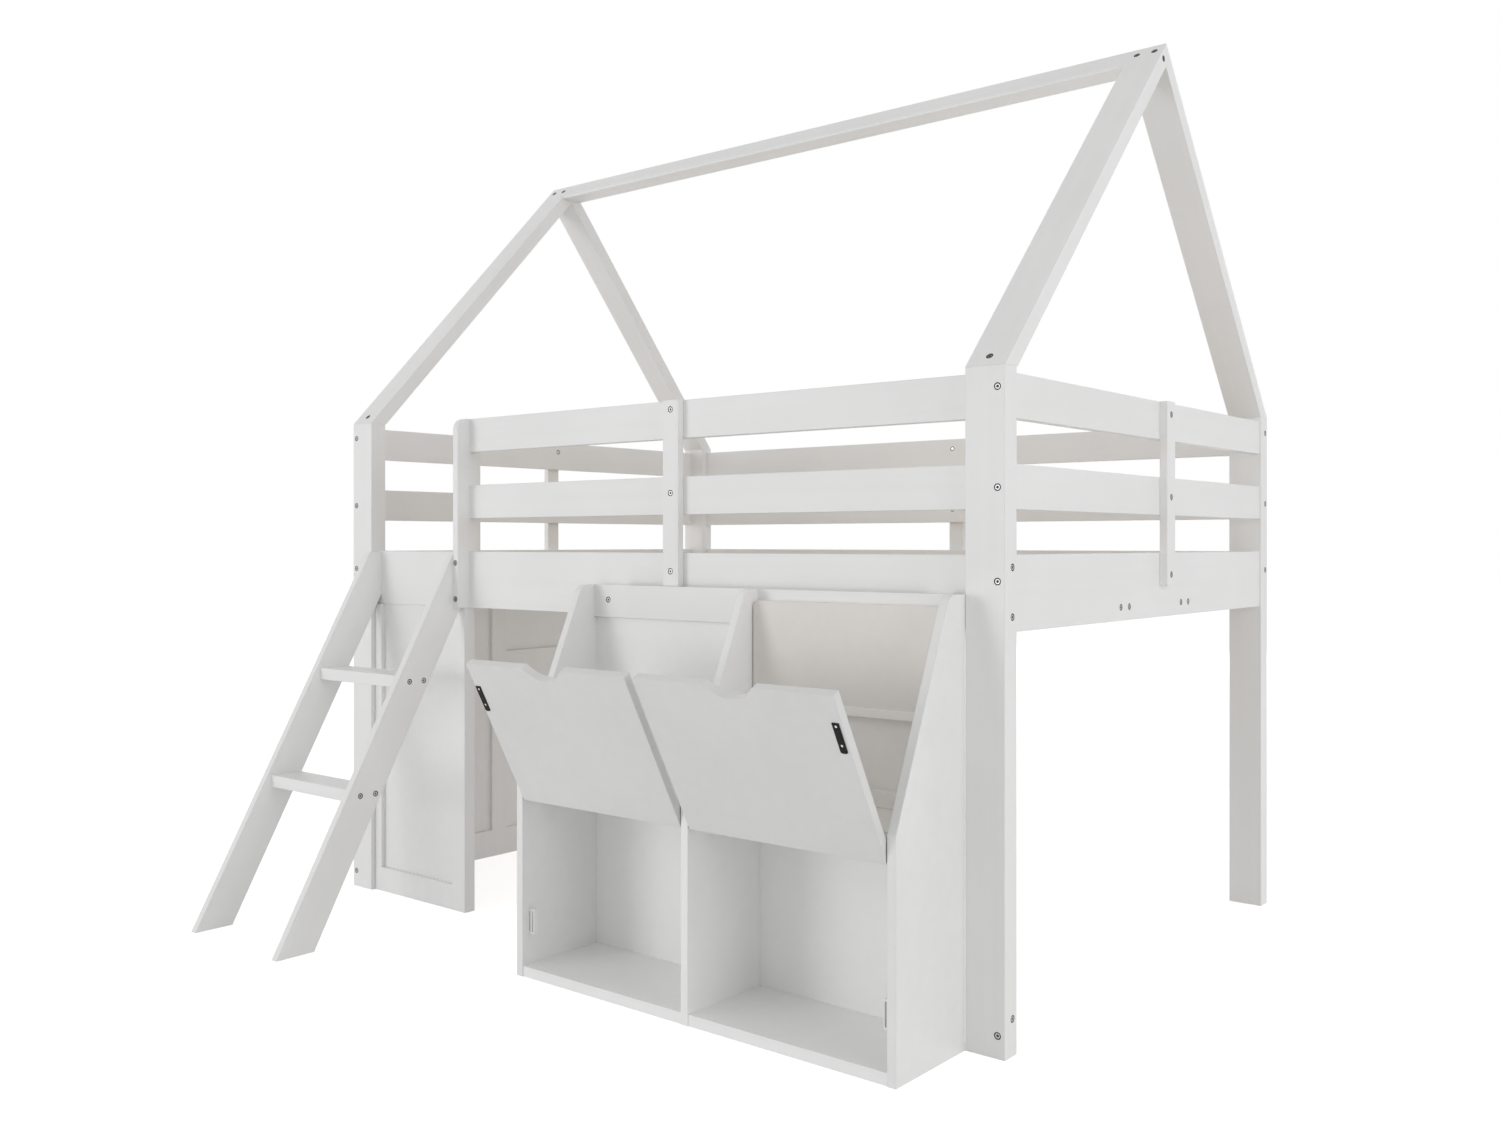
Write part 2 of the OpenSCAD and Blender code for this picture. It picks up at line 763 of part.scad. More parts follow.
module case_back_rail() {
    color(PAINT) difference() {
        for (x = bays) translate([x, -case_t, case_rail_z]) cube([bay_w, case_t, case_rail_h]);
        holes(case_marks);
    }
}

// Blocks that fill the space between the case and the bed rail
module case_spacers() {
    color(PAINT) difference() {
        for (m = case_marks) translate([m[0][0] - spacer_w / 2, 0, bed_rail_z])
            cube([spacer_w, front_rail_inset, case_h - bed_rail_z]);
        holes(case_marks);
    }
}

module lower_battens() {
    color(PAINT) for (x = bays)
        bar_x(x, x + bay_w, -case_back_t - lower_batten_d, deck_top, lower_batten_d, lower_batten_h);
}

module upper_battens() {
    color(PAINT) for (x = bays)
        bar_x(x, x + bay_w, -case_back_t - upper_batten_d, upper_batten_z, upper_batten_d, case_t);
}

// Board that stands on the right upper batten, against the back rail
module bin_riser() {
    w = bay_w - 2 * riser_gap;
    color(PAINT) translate([bays[1] + riser_gap, -case_t, upper_batten_z + case_t]) rotate([90, 0, 0])
        linear_extrude(case_t) {
            square([w, riser_h - riser_r]);
            translate([riser_r, 0]) square([w - 2 * riser_r, riser_h]);
            for (x = [riser_r, w - riser_r]) translate([x, riser_h - riser_r]) circle(riser_r, $fn = PIN_FN);
        }
}

// Places children so that z = 0 is the hinge line and +Z runs up the leaning door
module on_door(i) {
    translate([bays[i] + door_gap, pivot_y, pivot_z]) rotate([door_lean, 0, 0]) children();
}

module pin_bore(depth) {
    rotate([0, 90, 0]) cylinder(d = pin_d + 2 * pin_play, h = depth, $fn = PIN_FN);
}

module door(i) {
    notch_r = (notch_w * notch_w / 4 + notch_h * notch_h) / (2 * notch_h);
    color(PAINT) on_door(i) difference() {
        translate([0, door_t / 2, 0]) rotate([90, 0, 0]) linear_extrude(door_t) difference() {
            translate([0, -pivot_up]) square([door_w, door_h]);
            translate([door_w / 2, door_h - pivot_up - notch_h + notch_r]) circle(notch_r, $fn = CURVE_FN);
        }
        translate([-OVER, 0, 0]) pin_bore(pin_grip + OVER);
        translate([door_w - pin_grip, 0, 0]) pin_bore(pin_grip + OVER);
    }
}

// Steel plate on a door's outer face; the catch holds it when the door hangs down over the lower cubby
module door_plate(i) {
    x = i == 0 ? strike_in : door_w - strike_w - strike_in;
    color(BLACK) on_door(i) translate([x, -door_t / 2, strike_up]) difference() {
        translate([0, -plate_t, -strike_h / 2]) cube([strike_w, plate_t, strike_h]);
        for (s = [-1, 1]) translate([strike_w / 2, OVER, s * strike_h / 3]) rotate([90, 0, 0])
            cylinder(d = screw_d, h = plate_t + 2 * OVER, $fn = PIN_FN);
    }
}

// Hinge plate on the face at x = 0, with its pin towards +X
module hinge_plate() {
    translate([0, OVER - case_d, pivot_z - hinge_plate_drop]) cube([plate_t, hinge_plate_w, hinge_plate_h]);
    translate([0, pivot_y, pivot_z]) rotate([0, 90, 0])
        cylinder(d = pin_d, h = door_gap + pin_grip - OVER, $fn = PIN_FN);
}

module hinge_plates() {
    color(BLACK) for (x = bays) {
        translate([x, 0, 0]) hinge_plate();
        translate([x + bay_w, 0, 0]) mirror([1, 0, 0]) hinge_plate();
    }
}

module catches() {
    color(PAINT) for (x = [bays[0], bays[1] + bay_w - catch_t])
        translate([x, catch_y, catch_z - catch_h / 2]) difference() {
            cube([catch_t, catch_d, catch_h]);
            translate([(catch_t - slot_w) / 2, -OVER, (catch_h - slot_h) / 2])
                cube([slot_w, catch_slot + OVER, slot_h]);
        }
}

module frame_bolts() {
    color(STEEL) {
        for (side = [-1, 1]) {
            bolts(front_marks(side));
            bolts(front_end_marks(side));
            bolts(back_marks(side));
            bolts(back_end_marks(side));
        }
        bolts(beam_marks);
        bolts(ladder_post_marks);
        bolts(case_marks);
    }
}

module guard_bolts() {
    color(STEEL) {
        bolts(front_guard_marks, true);
        bolts(back_guard_marks, true);
        bolts(end_guard_marks(-1), true);
        bolts(end_guard_marks(1), true);
    }
}

module roof_bolts() {
    color(STEEL) for (side = [-1, 1]) {
        bolts(foot_marks(side));
        bolts(lap_marks(side));
        bolts(ridge_marks(side));
    }
}

module ladder_bolts() {
    color(STEEL) for (side = [-1, 1]) bolts(ladder_marks(side));
}

placed() {
    front_post(1);  // front_right_post
    front_post(-1);  // front_left_post
    back_post(1);  // back_right_post
    back_post(-1);  // back_left_post
    front_bed_rail();
    back_rail(0, bed_rail_h);  // back_bed_rail
    end_rail(1, 0, bed_rail_h);  // right_bed_rail
    end_rail(-1, 0, bed_rail_h);  // left_bed_rail
    front_guard_rail(2);  // front_top_guard_rail
    front_guard_rail(1);  // front_middle_guard_rail
    back_rail(2, guard_rail_h);  // back_top_guard_rail
    back_rail(1, guard_rail_h);  // back_middle_guard_rail
    end_rail(1, 2, guard_rail_h);  // right_top_guard_rail
    end_rail(1, 1, guard_rail_h);  // right_middle_guard_rail
    end_rail(-1, 2, guard_rail_h);  // left_top_guard_rail
    end_rail(-1, 1, guard_rail_h);  // left_middle_guard_rail
    front_guard_post();
    back_guard_post();
    end_guard_post(1);  // right_guard_post
    end_guard_post(-1);  // left_guard_post
    ladder_guard_post();
    front_rafter(1);  // right_front_rafter
    back_rafter(1);  // right_back_rafter
    front_rafter(-1);  // left_front_rafter
    back_rafter(-1);  // left_back_rafter
    ridge_beam();
    slat_ledges();
    slat_beams();
    slats();
    ladder_stile(-1);  // ladder_left_stile
    ladder_stile(1);  // ladder_right_stile
    ladder_step(lower_step_z);  // ladder_lower_step
    ladder_step(upper_step_z);  // ladder_upper_step
    front_board_frame();
    front_board_field();
    end_wall_frame();
    end_wall_fields();
    case_panel(case_left);  // case_left_side
    case_panel(case_right - case_t);  // case_right_side
    case_panel(case_left + case_t + bay_w);  // case_divider
    case_floor();
    case_deck();
    case_back();
    case_back_rail();
    case_spacers();
    lower_battens();  // bin_lower_battens
    upper_battens();  // bin_upper_battens
    bin_riser();
    door(0);  // left_door
    door(1);  // right_door
    door_plate(0);  // left_door_plate
    door_plate(1);  // right_door_plate
    hinge_plates();
    catches();
    frame_bolts();
    guard_bolts();
    roof_bolts();
    ladder_bolts();
}
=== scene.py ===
# %% [markdown]
# # A white loft bed with a house roof
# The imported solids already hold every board, bolt and plate of the bed at its true size. This
# lesson dresses them: satin paint over timber, bare slats, zinc bolts, black plates and the small
# parts that the solids leave out. Then it sets up the floor, the light and the camera.

# %% Load the bed
import math
import bmesh
import bpy
import numpy as np
from mathutils import Matrix, Vector


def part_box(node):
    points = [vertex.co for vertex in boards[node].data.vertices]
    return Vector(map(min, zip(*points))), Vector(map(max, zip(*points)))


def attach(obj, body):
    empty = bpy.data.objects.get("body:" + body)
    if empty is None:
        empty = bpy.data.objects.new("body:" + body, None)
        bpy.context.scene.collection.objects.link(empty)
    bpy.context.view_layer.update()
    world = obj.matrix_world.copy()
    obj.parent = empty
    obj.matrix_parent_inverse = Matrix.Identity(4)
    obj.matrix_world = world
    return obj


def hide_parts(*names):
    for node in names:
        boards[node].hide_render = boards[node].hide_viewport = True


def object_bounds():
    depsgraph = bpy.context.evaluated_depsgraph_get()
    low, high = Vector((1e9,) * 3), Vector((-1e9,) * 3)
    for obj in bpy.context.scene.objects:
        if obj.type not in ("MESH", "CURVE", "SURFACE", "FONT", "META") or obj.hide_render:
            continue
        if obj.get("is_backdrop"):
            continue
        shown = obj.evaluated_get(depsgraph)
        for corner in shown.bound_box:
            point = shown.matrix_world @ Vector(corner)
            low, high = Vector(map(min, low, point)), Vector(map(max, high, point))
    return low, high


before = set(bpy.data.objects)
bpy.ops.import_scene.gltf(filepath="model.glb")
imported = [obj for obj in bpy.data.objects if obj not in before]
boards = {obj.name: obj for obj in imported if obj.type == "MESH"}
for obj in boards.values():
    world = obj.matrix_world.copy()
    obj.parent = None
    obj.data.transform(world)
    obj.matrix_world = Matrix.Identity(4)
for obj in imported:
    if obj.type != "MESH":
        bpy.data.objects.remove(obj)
cad_low, cad_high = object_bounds()
print("nodes:", len(boards), "box:", [round(v, 3) for v in cad_high - cad_low])

# %% [markdown]
# ## Effects that finishes share
# Paint on a board shows three things: the grain that telegraphs through it, the fine skin that the
# spray leaves, and edges where the film is a little thinner. One material could hold all of them,
# but several finishes need the same effect at another strength. So each effect is a node group with
# named sockets, built once. The helper below makes an empty group with its sockets.

# %% Helper for node groups
MM = 0.001


def effect(name, inputs, outputs):
    """A shader node group with these inputs (name, kind, value) and outputs (name, kind)."""
    tree = bpy.data.node_groups.new(name, "ShaderNodeTree")
    for label, kind, value in inputs:
        socket = tree.interface.new_socket(label, in_out="INPUT", socket_type="NodeSocket" + kind)
        if value is not None:
            socket.default_value = value
    for label, kind in outputs:
        tree.interface.new_socket(label, in_out="OUTPUT", socket_type="NodeSocket" + kind)
    ins = tree.nodes.new("NodeGroupInput").outputs
    outs = tree.nodes.new("NodeGroupOutput").inputs
    return tree, ins, outs


print("group helper ready")

# %% [markdown]
# ## Short ways to write nodes
# A node, its settings and the links into it usually take four lines. A helper that takes them
# together makes each step of an effect one line, which can be read as a formula. Sums and a change
# of range come up in almost every effect, so both have a helper of their own.

# %% Helpers for nodes
def node(tree, kind, values=None, **settings):
    """A node with its settings and its inputs' values; a value may be another node's output."""
    made = tree.nodes.new("ShaderNode" + kind)
    for key, value in settings.items():
        setattr(made, key, value)
    for key, value in (values or {}).items():
        if isinstance(value, bpy.types.NodeSocket):
            tree.links.new(value, made.inputs[key])
        else:
            made.inputs[key].default_value = value
    return made


def maths(tree, operation, first, second):
    """The result of one sum."""
    return node(tree, "Math", {0: first, 1: second}, operation=operation).outputs[0]


def remap(tree, value, low, high, new_low, new_high):
    """A value moved from one range to another, and kept inside it."""
    return node(tree, "MapRange", {0: value, 1: low, 2: high, 3: new_low, 4: new_high}).outputs[0]


print("node helpers ready")

# %% [markdown]
# ## Grain under the paint
# Pine shows through paint as long faint ridges along the board. Noise that is stretched along the
# board gives them: its coordinates are multiplied by a small number in that direction. A wave
# texture would give rings that are too even. The group gives the ridges as a height and as a slight
# shade.

# %% Grain group
GROWTH_PER_METRE = 38
grain, ins, outs = effect(
    "Grain under paint",
    [("Vector", "Vector", None), ("Stretch", "Vector", (1, 1, 1)),
     ("Ridges per metre", "Float", 170)],
    [("Height", "Float"), ("Shade", "Float")])
along = node(grain, "VectorMath", {0: ins["Vector"], 1: ins["Stretch"]},
             operation="MULTIPLY").outputs[0]
ridges = node(grain, "TexNoise", {"Vector": along, "Scale": ins["Ridges per metre"], "Detail": 4,
                                  "Roughness": 0.6, "Distortion": 0.3})
growth = node(grain, "TexNoise", {"Vector": along, "Scale": GROWTH_PER_METRE, "Detail": 2})
grain.links.new(maths(grain, "MULTIPLY", ridges.outputs[0], growth.outputs[0]), outs["Height"])
grain.links.new(remap(grain, growth.outputs[0], 0.35, 0.65, 0, 1), outs["Shade"])
print("grain group:", len(grain.nodes), "nodes")

# %% [markdown]
# ## Painted highlight on the edges
# A sprayed board is sanded round at its edges. The Bevel node gives the normal of a rounded edge
# without changing the solid. Where it differs from the true normal the surface is near an edge,
# which gives a mask. Along it a lighter white is mixed into the paint, as a painted highlight.

# %% Edge group
PAINT_EDGE = 1.5 * MM
edges, ins, outs = effect("Softened edges", [("Radius", "Float", PAINT_EDGE)],
                          [("Edge", "Float"), ("Normal", "Vector")])
round_normal = node(edges, "Bevel", {"Radius": ins["Radius"]}, samples=6).outputs[0]
true_normal = node(edges, "NewGeometry").outputs["Normal"]
match = node(edges, "VectorMath", {0: round_normal, 1: true_normal},
             operation="DOT_PRODUCT").outputs["Value"]
edges.links.new(remap(edges, match, 0.995, 0.8, 0, 1), outs["Edge"])
edges.links.new(round_normal, outs["Normal"])
print("edge group:", len(edges.nodes), "nodes")

# %% [markdown]
# ## The skin of the paint
# Seen close, sprayed satin paint has a soft pebbled skin about a millimetre across, and from afar
# its white drifts a little lighter and darker over a board. Both come from noise at two sizes. The
# group takes the paint's colour, the grain's shade and the edge mask, and gives colour, roughness
# and height. Along the edges the mask mixes in a lighter white, a painted highlight.

# %% Paint group
DRIFT_PER_METRE, PEBBLES_PER_METRE = 3.5, 900
paint, ins, outs = effect(
    "Satin paint",
    [("Vector", "Vector", None), ("Colour", "Color", (0.8, 0.8, 0.8, 1)),
     ("Edge highlight colour", "Color", (0.93, 0.93, 0.93, 1)), ("Shade", "Float", 0), ("Edge", "Float", 0),
     ("Height", "Float", 0), ("Gloss", "Float", 0.38)],
    [("Colour", "Color"), ("Roughness", "Float"), ("Height", "Float")])
drift = node(paint, "TexNoise", {"Vector": ins["Vector"], "Scale": DRIFT_PER_METRE,
                                 "Detail": 2}).outputs[0]
pebble = node(paint, "TexNoise", {"Vector": ins["Vector"], "Scale": PEBBLES_PER_METRE,
                                  "Detail": 2}).outputs[0]
tone = remap(paint, drift, 0.3, 0.7, 0.975, 1.015)
cover = remap(paint, ins["Shade"], 0, 1, 1, 0.985)
level = maths(paint, "MULTIPLY", tone, cover)
tinted = node(paint, "VectorMath", {0: ins["Colour"], "Scale": level}, operation="SCALE").outputs[0]
# painted highlight: a lighter white mixed in near the edges
edge_highlighted = node(paint, "Mix", {0: ins["Edge"], 6: tinted, 7: ins["Edge highlight colour"]},
            data_type="RGBA").outputs[2]
rough = maths(paint, "ADD", ins["Gloss"], remap(paint, pebble, 0.25, 0.75, -0.05, 0.05))
skin = node(paint, "Math", {0: pebble, 1: 0.35, 2: ins["Height"]},
            operation="MULTIPLY_ADD").outputs[0]
paint.links.new(edge_highlighted, outs["Colour"])
paint.links.new(rough, outs["Roughness"])
paint.links.new(skin, outs["Height"])
print("paint group:", len(paint.nodes), "nodes")

# %% [markdown]
# ## A painted board
# Every painted board of the bed has the same three effects: grain, soft edges and the paint's skin.
# A helper puts the three groups into one material, so each finish only says what is its own: its
# white, its gloss, how deep the grain is, and how the board lies.

# %% Helper for painted boards
WHITE = (0.90, 0.90, 0.895, 1)
# painted highlight: the lighter white along the edges
EDGE_HIGHLIGHT_WHITE = (0.93, 0.93, 0.925, 1)


def painted(name, turn=0.0, stretch=(1, 1, 1), colour=WHITE, gloss=0.38, depth=0.06):
    """Satin paint on a board turned about X by this angle, with a grain of this depth in mm."""
    made = bpy.data.materials.new(name)
    made.use_nodes = True
    tree = made.node_tree
    shader = tree.nodes["Principled BSDF"]
    place = node(tree, "TexCoord").outputs["Object"]
    place = node(tree, "Mapping", {"Vector": place, "Rotation": (turn, 0, 0)}).outputs[0]
    wood = node(tree, "Group", node_tree=grain)
    rim = node(tree, "Group", node_tree=edges)
    film = node(tree, "Group", node_tree=paint)
    wood.inputs["Stretch"].default_value = stretch
    film.inputs["Colour"].default_value = colour
    film.inputs["Edge highlight colour"].default_value = EDGE_HIGHLIGHT_WHITE
    film.inputs["Gloss"].default_value = gloss
    tree.links.new(place, wood.inputs["Vector"])
    tree.links.new(place, film.inputs["Vector"])
    tree.links.new(wood.outputs["Height"], film.inputs["Height"])
    tree.links.new(wood.outputs["Shade"], film.inputs["Shade"])
    tree.links.new(rim.outputs["Edge"], film.inputs["Edge"])
    bump = node(tree, "Bump", {"Height": film.outputs["Height"], "Distance": depth * MM,
                               "Normal": rim.outputs["Normal"]})
    tree.links.new(film.outputs["Colour"], shader.inputs["Base Color"])
    tree.links.new(film.outputs["Roughness"], shader.inputs["Roughness"])
    tree.links.new(bump.outputs[0], shader.inputs["Normal"])
    return made


print("board helper ready")

# %% [markdown]
# ## White paint on timber
# Posts, rails and rafters are timber, so the grain must run along each of them. A board's own
# object has no turn, so the turn goes into the material: one material for each direction that
# boards run in. The alternative, UV maps for 40 boards, would only be worth it for a printed
# pattern.

# %% White timber finishes
# Rise and run of each slope on the real bed, in millimetres
FRONT_SLOPE = math.atan2(801, 769)
BACK_SLOPE = math.atan2(801, 691)
STILE_SLOPE = math.atan2(927, 516.5)
LONG = 0.03  # how much the grain is squeezed along the board
timber = {
    "along_x": painted("white_timber_along_x", stretch=(LONG, 1, 1)),
    "along_y": painted("white_timber_along_y", stretch=(1, LONG, 1)),
    "upright": painted("white_timber_upright", stretch=(1, 1, LONG)),
    "front_slope": painted("white_timber_front_slope", -FRONT_SLOPE, (1, LONG, 1)),
    "back_slope": painted("white_timber_back_slope", BACK_SLOPE, (1, LONG, 1)),
    "stile_slope": painted("white_timber_stiles", -STILE_SLOPE, (1, LONG, 1)),
}
print("timber finishes:", len(timber))

# %% [markdown]
# ## White paint on panels
# The storage case, its doors and the thin fields are smooth boards without grain. Their paint shows
# only its own skin, so they take the same groups with almost no depth. The doors lean over the case
# and face down a little, so their white is painted greyer than the frame, as painted shade. The
# boards inside the case are painted a little lighter, as painted light in the case.

# %% White panel finishes
# painted light: the boards inside the case are whiter than the paint
LIT_INNER_WHITE = (0.965, 0.965, 0.96, 1)
# painted shade: the doors' white is greyer than the paint
SHADED_DOOR_WHITE = (0.79, 0.79, 0.782, 1)
PANEL_DEPTH = 0.03
PANEL_GLOSS, INNER_GLOSS = 0.36, 0.42
panel = painted("white_panel", gloss=PANEL_GLOSS, depth=PANEL_DEPTH)
door_panel = painted("door_panel", colour=SHADED_DOOR_WHITE, gloss=PANEL_GLOSS, depth=PANEL_DEPTH)
inner_panel = painted("inner_panel", colour=LIT_INNER_WHITE, gloss=INNER_GLOSS, depth=PANEL_DEPTH)
print("panel finishes:", panel.name, door_panel.name, inner_panel.name)

# %% [markdown]
# ## Painted shade in the right bin
# The boards inside the right bin lie in warm shade, so a darker cream white is painted on them, as
# painted shade. Some of these boards run on through both bins or down into the cubbies, so the
# shade can't be a colour of the whole board. A mask from the height and the side mixes it into the
# white only above the deck, right of the divider.

# %% Bin finishes
# painted shade: darker, warmer whites for the inside of the right bin
RIGHT_BIN_SHADE = (0.85, 0.82, 0.78, 1)
PALE_RIGHT_BIN_SHADE = (0.96, 0.935, 0.90, 1)
DECK_BLEND, DIVIDER_BLEND = 3 * MM, 9 * MM


def bin_paint_with_shade(name, shade_colour):
    """The lit inner white, with a cream painted shade above the deck, right of the divider."""
    made = painted(name, colour=LIT_INNER_WHITE, gloss=INNER_GLOSS, depth=PANEL_DEPTH)
    tree = made.node_tree
    film = next(n for n in tree.nodes if n.type == "GROUP" and n.node_tree == paint)
    spot = node(tree, "SeparateXYZ", {0: node(tree, "TexCoord").outputs["Object"]}).outputs
    deck_top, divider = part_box("case_deck")[1].z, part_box("case_divider")[1].x
    in_bin = remap(tree, spot[2], deck_top - DECK_BLEND, deck_top, 0, 1)
    in_right = remap(tree, spot[0], divider - DIVIDER_BLEND, divider, 0, 1)
    shade_mask = maths(tree, "MULTIPLY", in_bin, in_right)
    shaded_white = node(tree, "Mix", {0: shade_mask, 6: LIT_INNER_WHITE, 7: shade_colour}, data_type="RGBA").outputs[2]
    tree.links.new(shaded_white, film.inputs["Colour"])
    return made


riser_panel = bin_paint_with_shade("riser_panel", RIGHT_BIN_SHADE)
bin_panel = bin_paint_with_shade("bin_panel", PALE_RIGHT_BIN_SHADE)
print("bin finishes:", riser_panel.name, bin_panel.name)

# %% [markdown]
# ## Bare pine slats
# The slats are planed pine without paint. Their colour runs from pale sapwood to darker lines of
# late growth along the slat. The grain group's shade drives a colour ramp, and the same height
# gives a fine bump. The slats lie out of the photograph's view, but other views show them.

# %% Bare pine
SAPWOOD, LATE_WOOD = (0.66, 0.49, 0.30, 1), (0.47, 0.30, 0.15, 1)
PINE_RIDGES, PINE_DEPTH = 240, 0.15 * MM
pine = bpy.data.materials.new("bare_pine")
pine.use_nodes = True
tree = pine.node_tree
place = node(tree, "TexCoord").outputs["Object"]
wood = node(tree, "Group", node_tree=grain)
rim = node(tree, "Group", node_tree=edges)
wood.inputs["Stretch"].default_value = (1, LONG, 1)
wood.inputs["Ridges per metre"].default_value = PINE_RIDGES
tree.links.new(place, wood.inputs["Vector"])
ramp = node(tree, "ValToRGB", {"Fac": wood.outputs["Shade"]})
ramp.color_ramp.elements[0].color = SAPWOOD
ramp.color_ramp.elements[1].color = LATE_WOOD
shine = remap(tree, wood.outputs["Height"], 0.1, 0.4, 0.62, 0.5)
bump = node(tree, "Bump", {"Height": wood.outputs["Height"], "Distance": PINE_DEPTH,
                           "Normal": rim.outputs["Normal"]})
shader = tree.nodes["Principled BSDF"]
tree.links.new(ramp.outputs[0], shader.inputs["Base Color"])
tree.links.new(shine, shader.inputs["Roughness"])
tree.links.new(bump.outputs[0], shader.inputs["Normal"])
print("pine ready")

# %% [markdown]
# ## The skin of metal
# Plated and powder coated metal is finely pitted. The same skin serves zinc, black coat and moulded
# plastic at other strengths, so it is a group: one fine noise moves the colour, the roughness and
# the height a little.

# %% Metal skin group
metal_skin, ins, outs = effect(
    "Metal skin",
    [("Vector", "Vector", None), ("Colour", "Color", (0.5, 0.5, 0.5, 1)),
     ("Contrast", "Float", 0.1), ("Roughness", "Float", 0.3), ("Grains per metre", "Float", 2500)],
    [("Colour", "Color"), ("Roughness", "Float"), ("Height", "Float")])
speck = node(metal_skin, "TexNoise", {"Vector": ins["Vector"], "Scale": ins["Grains per metre"],
                                      "Detail": 3}).outputs[0]
swing = maths(metal_skin, "MULTIPLY", maths(metal_skin, "SUBTRACT", speck, 0.5), ins["Contrast"])
level = maths(metal_skin, "ADD", swing, 1)
tinted = node(metal_skin, "VectorMath", {0: ins["Colour"], "Scale": level},
              operation="SCALE").outputs[0]
metal_skin.links.new(tinted, outs["Colour"])
metal_skin.links.new(maths(metal_skin, "ADD", ins["Roughness"], swing), outs["Roughness"])
metal_skin.links.new(speck, outs["Height"])
print("metal group:", len(metal_skin.nodes), "nodes")

# %% [markdown]
# ## Metal and plastic parts
# The bolts are zinc plated: a pale grey metal with fine mottling and a soft shine. On the roof the
# same zinc is painted darker, as painted shade. The hinge plates and the plates on the doors are
# black and slightly rough. The catches are white plastic with grey poles. A helper places the skin
# in a material, and each part gives its own values.

# %% Metal and plastic finishes
FITTING_EDGE, PIT_DEPTH = 0.4 * MM, 0.01 * MM


def metal(name, colour, contrast, roughness, metallic, grains=2500, shine=0.5):
    """A metal or plastic part with the pitted skin."""
    made = bpy.data.materials.new(name)
    made.use_nodes = True
    tree = made.node_tree
    shader = tree.nodes["Principled BSDF"]
    skin = node(tree, "Group", node_tree=metal_skin)
    rim = node(tree, "Group", node_tree=edges)
    rim.inputs["Radius"].default_value = FITTING_EDGE
    skin.inputs["Colour"].default_value = colour
    skin.inputs["Contrast"].default_value = contrast
    skin.inputs["Roughness"].default_value = roughness
    skin.inputs["Grains per metre"].default_value = grains
    tree.links.new(node(tree, "TexCoord").outputs["Object"], skin.inputs["Vector"])
    bump = node(tree, "Bump", {"Height": skin.outputs["Height"], "Distance": PIT_DEPTH,
                               "Normal": rim.outputs["Normal"]})
    shader.inputs["Metallic"].default_value = metallic
    shader.inputs["Specular IOR Level"].default_value = shine
    tree.links.new(skin.outputs["Colour"], shader.inputs["Base Color"])
    tree.links.new(skin.outputs["Roughness"], shader.inputs["Roughness"])
    tree.links.new(bump.outputs[0], shader.inputs["Normal"])
    return made


zinc = metal("zinc_plate", (0.62, 0.62, 0.62, 1), 0.2, 0.4, 1.0)
# painted shade: the roof bolts' zinc, painted darker
shaded_zinc = metal("shaded_zinc_plate", (0.2, 0.2, 0.2, 1), 0.3, 0.42, 1.0)
bright_steel = metal("bright_steel", (0.85, 0.85, 0.85, 1), 0.1, 0.35, 1.0)
black_coat = metal("black_powder_coat", (0.012, 0.012, 0.013, 1), 0.4, 0.5, 0.0, grains=1600,
                   shine=0.12)
# painted shade: near black floors of the bolts' sockets and of the screws' crosses
socket_dark = metal("socket_shadow", (0.05, 0.05, 0.052, 1), 0.4, 0.6, 0.0, grains=1600,
                    shine=0.2)
# painted shadow: near black for the gap round each bolt head
bolt_gap_shadow = metal("bolt_gap_shadow", (0.025, 0.024, 0.022, 1), 0.6, 0.7, 0.0, grains=1200,
                     shine=0.2)
catch_plastic = metal("white_plastic", (0.92, 0.92, 0.92, 1), 0.06, 0.4, 0.0, grains=1200)
magnet_steel = metal("magnet_steel", (0.48, 0.48, 0.48, 1), 0.4, 0.5, 0.0, shine=0.3)
print("metal and plastic finishes: 8")

# %% [markdown]
# ## Give every board its finish
# The table below is read as a parts list: each finish with the boards that carry it. A rule by name
# or by size would be shorter, but the list shows at a glance what every board wears.

# %% List of finishes
FINISHES = {
    timber["along_x"]: "front_bed_rail back_bed_rail front_top_guard_rail front_middle_guard_rail "
                       "back_top_guard_rail back_middle_guard_rail ridge_beam slat_ledges "
                       "slat_beams ladder_lower_step ladder_upper_step case_back_rail "
                       "case_spacers",
    timber["along_y"]: "right_bed_rail left_bed_rail right_top_guard_rail right_middle_guard_rail "
                       "left_top_guard_rail left_middle_guard_rail",
    timber["upright"]: "front_right_post front_left_post back_right_post back_left_post "
                       "front_guard_post back_guard_post right_guard_post left_guard_post "
                       "ladder_guard_post front_board_frame end_wall_frame",
    timber["front_slope"]: "right_front_rafter left_front_rafter",
    timber["back_slope"]: "right_back_rafter left_back_rafter",
    timber["stile_slope"]: "ladder_left_stile ladder_right_stile",
    panel: "front_board_field end_wall_fields case_left_side case_right_side",
    door_panel: "left_door right_door",
    inner_panel: "case_floor case_divider",
    riser_panel: "bin_riser",
    bin_panel: "case_back case_deck bin_lower_battens bin_upper_battens",
    pine: "slats",
    zinc: "frame_bolts guard_bolts ladder_bolts",
    shaded_zinc: "roof_bolts",
    black_coat: "left_door_plate right_door_plate hinge_plates",
    catch_plastic: "catches",
}
print("finishes in the list:", len(FINISHES))

# %% [markdown]
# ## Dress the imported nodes
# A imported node's shape stays as it is, and only its material slots change. The finish goes on the
# object and not on its mesh, and the count makes sure that no board was left out.

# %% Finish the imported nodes
finished = 0
for finish, names in FINISHES.items():
    for name in names.split():
        board = boards[name]
        if not board.material_slots:
            board.data.materials.append(None)
        for slot in board.material_slots:
            slot.link = "OBJECT"
            slot.material = finish
        finished += 1
print("finished nodes:", finished, "of", len(boards))
assert finished == len(boards)

